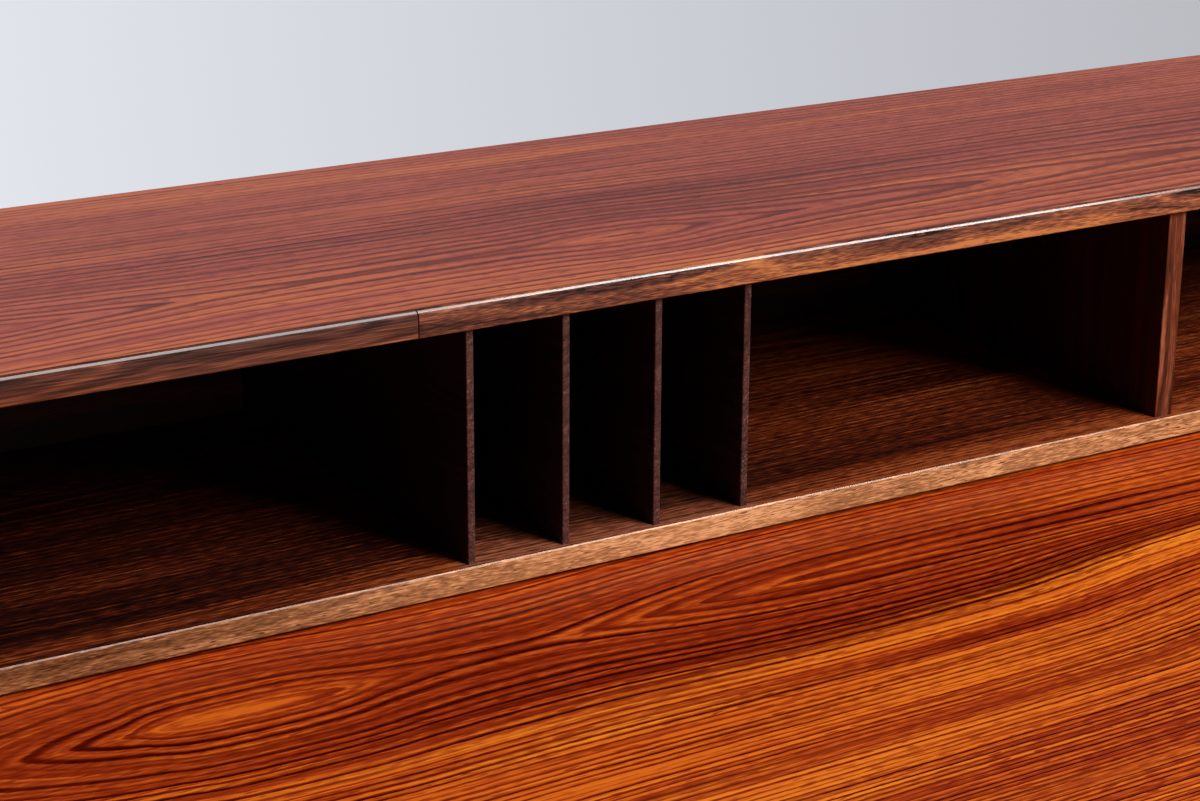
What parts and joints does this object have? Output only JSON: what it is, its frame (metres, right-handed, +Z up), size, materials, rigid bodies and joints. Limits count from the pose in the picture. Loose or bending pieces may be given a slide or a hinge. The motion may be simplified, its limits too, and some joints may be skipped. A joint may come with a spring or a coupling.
{
  "type": "partners desk",
  "caption": "Free-standing wooden desk with an open pigeonhole gallery and letter rack on its top, drawer pedestals, bookcase backs and a kneehole open right through.",
  "frame": {"origin": "on the floor under the middle of the desktop", "axes": "+Z up; the sitter and the drawer fronts are on the -Y side; +X is the sitter's right"},
  "size_m": [1.8, 0.8, 0.8985],
  "materials": {
    "rosewood_veneer": "satin oiled rosewood veneer",
    "rosewood_solid": "satin oiled solid rosewood",
    "pale_lipping": "pale open-pored lipping",
    "drawer_lining": "plain matt drawer lining"
  },
  "bodies": {
    "desk": {"desktop_panel": "rosewood_veneer", "desktop_front_lipping": "rosewood_solid", "desktop_right_lipping": "rosewood_solid", "desktop_rear_lipping": "rosewood_solid", "desktop_left_lipping": "rosewood_solid", "gallery_top": "rosewood_veneer", "gallery_floor": "rosewood_veneer", "gallery_left_end": "rosewood_veneer", "gallery_right_end": "rosewood_veneer", "gallery_back": "rosewood_veneer", "gallery_floor_lipping": "pale_lipping", "gallery_top_lipping_left": "rosewood_solid", "gallery_top_lipping_right": "rosewood_solid", "gallery_left_post": "rosewood_solid", "gallery_right_post": "rosewood_solid", "letter_divider_1": "rosewood_solid", "letter_divider_2": "rosewood_solid", "letter_divider_3": "rosewood_solid", "letter_divider_4": "rosewood_solid", "front_left_leg": "rosewood_solid", "front_right_leg": "rosewood_solid", "rear_left_leg": "rosewood_solid", "rear_right_leg": "rosewood_solid", "left_pedestal_outer_side": "rosewood_veneer", "left_pedestal_inner_side": "rosewood_veneer", "left_pedestal_bottom": "rosewood_veneer", "left_pedestal_partition": "rosewood_veneer", "left_pedestal_shelf": "rosewood_veneer", "left_pedestal_top": "rosewood_solid", "right_pedestal_outer_side": "rosewood_veneer", "right_pedestal_inner_side": "rosewood_veneer", "right_pedestal_bottom": "rosewood_veneer", "right_pedestal_partition": "rosewood_veneer", "right_pedestal_shelf": "rosewood_veneer", "right_pedestal_top": "rosewood_solid"},
    "left_top_drawer": {"left_top_drawer_front": "rosewood_veneer", "left_top_drawer_left_side": "drawer_lining", "left_top_drawer_right_side": "drawer_lining", "left_top_drawer_back": "drawer_lining", "left_top_drawer_bottom": "drawer_lining"},
    "left_file_drawer": {"left_file_drawer_front": "rosewood_veneer", "left_file_drawer_left_side": "drawer_lining", "left_file_drawer_right_side": "drawer_lining", "left_file_drawer_back": "drawer_lining", "left_file_drawer_bottom": "drawer_lining"},
    "right_top_drawer": {"right_top_drawer_front": "rosewood_veneer", "right_top_drawer_left_side": "drawer_lining", "right_top_drawer_right_side": "drawer_lining", "right_top_drawer_back": "drawer_lining", "right_top_drawer_bottom": "drawer_lining"},
    "right_middle_drawer": {"right_middle_drawer_front": "rosewood_veneer", "right_middle_drawer_left_side": "drawer_lining", "right_middle_drawer_right_side": "drawer_lining", "right_middle_drawer_back": "drawer_lining", "right_middle_drawer_bottom": "drawer_lining"},
    "right_bottom_drawer": {"right_bottom_drawer_front": "rosewood_veneer", "right_bottom_drawer_left_side": "drawer_lining", "right_bottom_drawer_right_side": "drawer_lining", "right_bottom_drawer_back": "drawer_lining", "right_bottom_drawer_bottom": "drawer_lining"}
  },
  "joints": [
    {"name": "left_top_drawer_slide", "type": "slide", "parent": "desk", "child": "left_top_drawer", "axis": [0, -1, 0], "range_m": [0, 0.32]},
    {"name": "left_file_drawer_slide", "type": "slide", "parent": "desk", "child": "left_file_drawer", "axis": [0, -1, 0], "range_m": [0, 0.32]},
    {"name": "right_top_drawer_slide", "type": "slide", "parent": "desk", "child": "right_top_drawer", "axis": [0, -1, 0], "range_m": [0, 0.32]},
    {"name": "right_middle_drawer_slide", "type": "slide", "parent": "desk", "child": "right_middle_drawer", "axis": [0, -1, 0], "range_m": [0, 0.32]},
    {"name": "right_bottom_drawer_slide", "type": "slide", "parent": "desk", "child": "right_bottom_drawer", "axis": [0, -1, 0], "range_m": [0, 0.32]}
  ]
}
